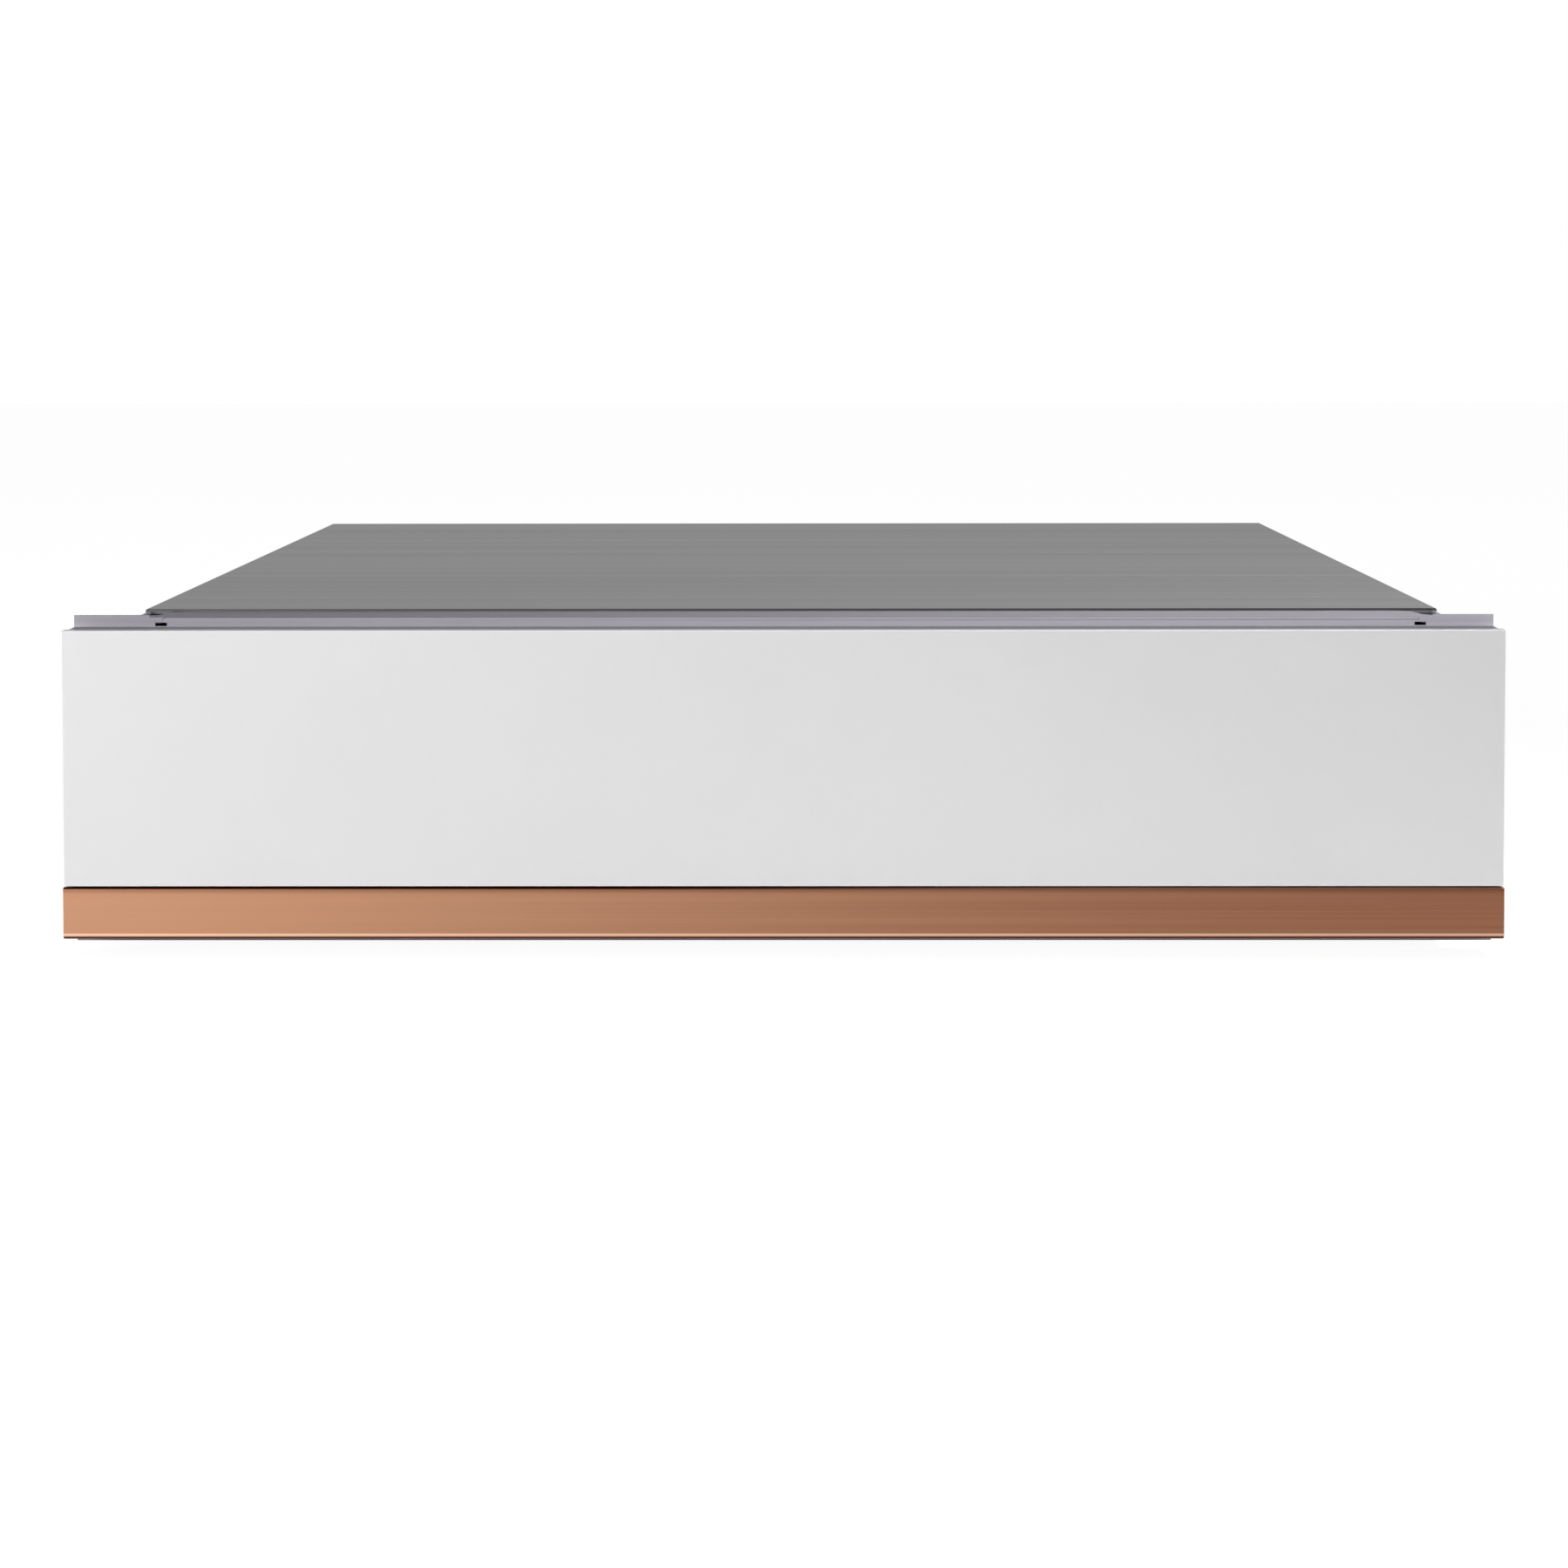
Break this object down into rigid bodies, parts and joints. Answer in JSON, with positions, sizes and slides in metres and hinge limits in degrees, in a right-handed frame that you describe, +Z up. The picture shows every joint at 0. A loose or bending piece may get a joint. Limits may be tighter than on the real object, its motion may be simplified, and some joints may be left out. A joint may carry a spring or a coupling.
{
  "type": "vacuum sealing drawer",
  "caption": "Built-in vacuum sealing drawer: steel housing on ball slides, back-painted glass front over a copper strip, chamber with glass lid, sealing bar and pump.",
  "frame": {"origin": "on the floor under the middle of the whole appliance", "axes": "+X to the right seen from the front, front face towards -Y, +Z up"},
  "size_m": [0.595, 0.57, 0.14],
  "materials": {
    "galvanised_sheet": "zinc-coated folded sheet",
    "brushed_cover": "steel brushed along the width",
    "painted_frame": "lavender grey satin paint",
    "brushed_deck": "stainless steel, finely brushed",
    "rubber": "matt black",
    "zinc_rail": "bright zinc",
    "ball_steel": "polished balls in a steel cage",
    "screw_steel": "plain steel",
    "black_plastic": "black moulded",
    "grey_plastic": "grey moulded",
    "silicone_grey": "grey silicone",
    "lid_glass": "clear toughened glass with ground edges",
    "satin_aluminium": "satin anodised",
    "heating_band": "non-stick tape over the heating band",
    "black_glass": "black touch glass",
    "circuit_board": "green board",
    "cast_aluminium": "cast",
    "coil_black": "varnished winding",
    "white_glass": "back-painted light grey-white glass",
    "tape": "adhesive tape",
    "painted_door": "lavender grey satin paint",
    "copper_trim": "copper-coloured anodised, brushed along the width"
  },
  "bodies": {
    "housing": {"base_tray": "galvanised_sheet", "rubber_feet": "rubber", "rear_panel": "galvanised_sheet", "top_cover": "brushed_cover", "front_frame": "painted_frame", "housing_screws": "screw_steel", "mains_inlet": "black_plastic", "terminal_box": "black_plastic", "push_latch_housing": "black_plastic", "rail_outer_left": "zinc_rail", "rail_outer_right": "zinc_rail"},
    "mid_rail_left": {"rail_mid_left": "zinc_rail"},
    "mid_rail_right": {"rail_mid_right": "zinc_rail"},
    "outer_cage_left": {"ball_cage_outer_left": "ball_steel"},
    "outer_cage_right": {"ball_cage_outer_right": "ball_steel"},
    "inner_cage_left": {"ball_cage_inner_left": "ball_steel"},
    "inner_cage_right": {"ball_cage_inner_right": "ball_steel"},
    "lid": {"lid_glass": "lid_glass", "lid_clamp_rail": "satin_aluminium", "lid_handle": "satin_aluminium", "counter_bar": "silicone_grey"},
    "sealing_bar": {"seal_bar": "satin_aluminium", "heating_strip": "heating_band", "seal_pistons": "screw_steel"},
    "cooling_fan": {"cooling_fan_rotor": "black_plastic"},
    "pump_fan_wheel": {"pump_fan": "black_plastic"},
    "latch_plunger": {"push_latch_plunger": "grey_plastic"},
    "drawer": {"drawer_tray": "galvanised_sheet", "pump_bracket": "galvanised_sheet", "deck_plate": "brushed_deck", "rear_deck_cover": "brushed_deck", "chamber_tub": "brushed_deck", "pump_dampers": "rubber", "door_bumpers": "rubber", "rail_inner_left": "zinc_rail", "rail_inner_right": "zinc_rail", "drawer_screws": "screw_steel", "hinge_pins": "screw_steel", "strike_plate": "screw_steel", "cooling_fan_frame": "black_plastic", "muffler": "black_plastic", "seal_cylinders": "grey_plastic", "suction_filter": "grey_plastic", "lid_seal": "silicone_grey", "vacuum_hoses": "silicone_grey", "hinge_brackets": "satin_aluminium", "hinge_dampers": "satin_aluminium", "valve_block": "satin_aluminium", "control_panel": "black_glass", "control_board": "circuit_board", "power_board": "circuit_board", "vacuum_pump": "cast_aluminium", "pump_motor": "cast_aluminium", "solenoid_valves": "coil_black", "transformer": "coil_black", "front_glass": "white_glass", "door_tape": "tape", "door_carrier": "painted_door", "door_inner_panel": "painted_door", "copper_trim": "copper_trim"}
  },
  "joints": [
    {"name": "drawer_slide", "type": "slide", "parent": "housing", "child": "drawer", "axis": [0, -1, 0], "range_m": [-0.0025, 0.44]},
    {"name": "mid_rail_slide_left", "type": "slide", "parent": "housing", "child": "mid_rail_left", "axis": [0, -1, 0], "range_m": [-0.00125, 0.22]},
    {"name": "mid_rail_slide_right", "type": "slide", "parent": "housing", "child": "mid_rail_right", "axis": [0, -1, 0], "range_m": [-0.00125, 0.22]},
    {"name": "outer_cage_slide_left", "type": "slide", "parent": "housing", "child": "outer_cage_left", "axis": [0, -1, 0], "range_m": [-0.00063, 0.11]},
    {"name": "outer_cage_slide_right", "type": "slide", "parent": "housing", "child": "outer_cage_right", "axis": [0, -1, 0], "range_m": [-0.00063, 0.11]},
    {"name": "inner_cage_slide_left", "type": "slide", "parent": "housing", "child": "inner_cage_left", "axis": [0, -1, 0], "range_m": [-0.00187, 0.33]},
    {"name": "inner_cage_slide_right", "type": "slide", "parent": "housing", "child": "inner_cage_right", "axis": [0, -1, 0], "range_m": [-0.00187, 0.33]},
    {"name": "lid_hinge", "type": "hinge", "parent": "drawer", "child": "lid", "pos_m": [0.003, 0.1267, 0.118], "axis": [-1, 0, 0], "range_deg": [0, 2]},
    {"name": "seal_bar_lift", "type": "slide", "parent": "drawer", "child": "sealing_bar", "axis": [0, 0, 1], "range_m": [0, 0.006]},
    {"name": "cooling_fan_spin", "type": "hinge", "parent": "drawer", "child": "cooling_fan", "pos_m": [-0.192, 0.2323, 0.0472], "axis": [0, 1, 0], "continuous": true},
    {"name": "pump_fan_spin", "type": "hinge", "parent": "drawer", "child": "pump_fan_wheel", "pos_m": [0.13, 0.178, 0.051], "axis": [1, 0, 0], "continuous": true},
    {"name": "latch_plunger_slide", "type": "slide", "parent": "housing", "child": "latch_plunger", "axis": [0, 1, 0], "range_m": [0, 0.003], "stiffness_N_per_m": 800, "springref_m": -0.002}
  ],
  "couplings": [
    {"joint": "mid_rail_slide_left", "follows": "drawer_slide", "ratio": 0.5},
    {"joint": "mid_rail_slide_right", "follows": "drawer_slide", "ratio": 0.5},
    {"joint": "outer_cage_slide_left", "follows": "drawer_slide", "ratio": 0.25},
    {"joint": "outer_cage_slide_right", "follows": "drawer_slide", "ratio": 0.25},
    {"joint": "inner_cage_slide_left", "follows": "drawer_slide", "ratio": 0.75},
    {"joint": "inner_cage_slide_right", "follows": "drawer_slide", "ratio": 0.75}
  ]
}
